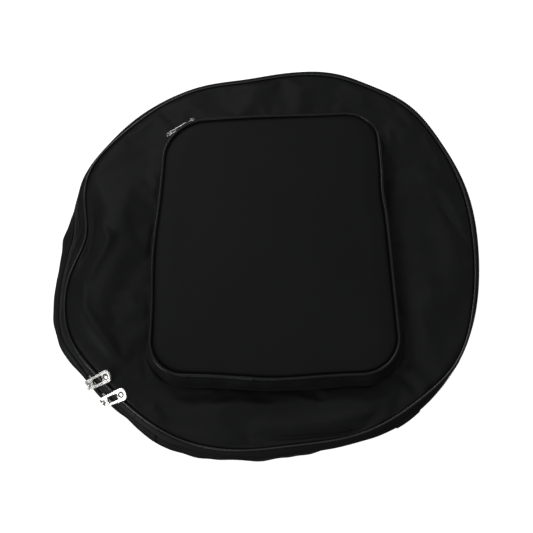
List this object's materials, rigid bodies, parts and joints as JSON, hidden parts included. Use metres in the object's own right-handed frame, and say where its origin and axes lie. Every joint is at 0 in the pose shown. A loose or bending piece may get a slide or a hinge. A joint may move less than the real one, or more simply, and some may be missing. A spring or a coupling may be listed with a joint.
{
  "type": "spare tyre cover",
  "caption": "Soft round zippered spare tyre bag with a padded front panel that opens as a lid, corded edges and a raised zipped pocket.",
  "frame": {"origin": "centre of the flat back, on the surface the cover lies on", "axes": "+Z out of the front panel, +Y towards the pocket's zipped edge, +X to the right as the pocket is seen from the front"},
  "size_m": [0.557, 0.5571, 0.1026],
  "materials": {
    "shell_cloth": "satin",
    "padding": "matte",
    "lining": "matte",
    "piping": "satin",
    "binding_tape": "matte",
    "zip_tape": "matte",
    "zip_coil": "satin",
    "nickel": "polished"
  },
  "bodies": {
    "back_shell": {"back_panel": "shell_cloth", "back_foam": "padding", "back_lining": "lining", "back_piping": "piping", "back_seam_binding": "binding_tape", "rear_gusset": "shell_cloth", "hinge_panel": "shell_cloth", "zip_end_tab_left": "shell_cloth", "zip_end_tab_right": "shell_cloth", "rear_zip_tape": "zip_tape", "rear_zip_coil": "zip_coil", "front_panel_fold": "shell_cloth", "front_piping_fold": "piping"},
    "lid": {"front_panel": "shell_cloth", "front_foam": "padding", "front_lining": "lining", "front_piping": "piping", "front_seam_binding": "binding_tape", "front_gusset": "shell_cloth", "front_zip_tape": "zip_tape", "front_zip_coil": "zip_coil", "pocket_gusset": "shell_cloth", "pocket_panel": "shell_cloth", "pocket_foam": "padding", "pocket_lining": "lining", "pocket_piping": "piping", "pocket_zip_tape_upper": "zip_tape", "pocket_zip_coil_upper": "zip_coil", "pocket_zip_tape_lower": "zip_tape", "pocket_zip_coil_lower": "zip_coil", "pocket_zip_stop_left": "nickel", "pocket_zip_stop_right": "nickel"},
    "slider_a": {"zip_slider_a": "nickel"},
    "tab_a": {"pull_tab_a": "nickel"},
    "slider_b": {"zip_slider_b": "nickel"},
    "tab_b": {"pull_tab_b": "nickel"},
    "pocket_slider": {"pocket_slider": "nickel"},
    "pocket_tab": {"pocket_pull_tab": "nickel"}
  },
  "joints": [
    {"name": "lid_fold", "type": "hinge", "parent": "back_shell", "child": "lid", "pos_m": [0, -0.21843, 0.0729], "axis": [1, 0, 0], "range_deg": [0, 110]},
    {"name": "slider_a_travel", "type": "hinge", "parent": "lid", "child": "slider_a", "pos_m": [0, 0, 0.058], "axis": [0, 0, 1], "range_deg": [-265, 0]},
    {"name": "tab_a_swing", "type": "hinge", "parent": "slider_a", "child": "tab_a", "pos_m": [-0.23308, -0.16934, 0.06], "axis": [0.5878, -0.809, 0], "range_deg": [0, 225]},
    {"name": "slider_b_travel", "type": "hinge", "parent": "lid", "child": "slider_b", "pos_m": [0, 0, 0.058], "axis": [0, 0, 1], "range_deg": [0, 6.5]},
    {"name": "tab_b_swing", "type": "hinge", "parent": "slider_b", "child": "tab_b", "pos_m": [-0.2141, -0.19278, 0.06], "axis": [0.6691, -0.7431, 0], "range_deg": [0, 225]},
    {"name": "pocket_slider_travel", "type": "slide", "parent": "lid", "child": "pocket_slider", "axis": [1, 0, 0], "range_m": [0, 0.192]},
    {"name": "pocket_tab_swing", "type": "hinge", "parent": "pocket_slider", "child": "pocket_tab", "pos_m": [-0.102, 0.19077, 0.08721], "axis": [0, -0.2388, 0.9711], "range_deg": [-215, 0]}
  ],
  "couplings": [
    {"joint": "pocket_tab_swing", "follows": "pocket_slider_travel", "rad_per_m": -19.3}
  ]
}
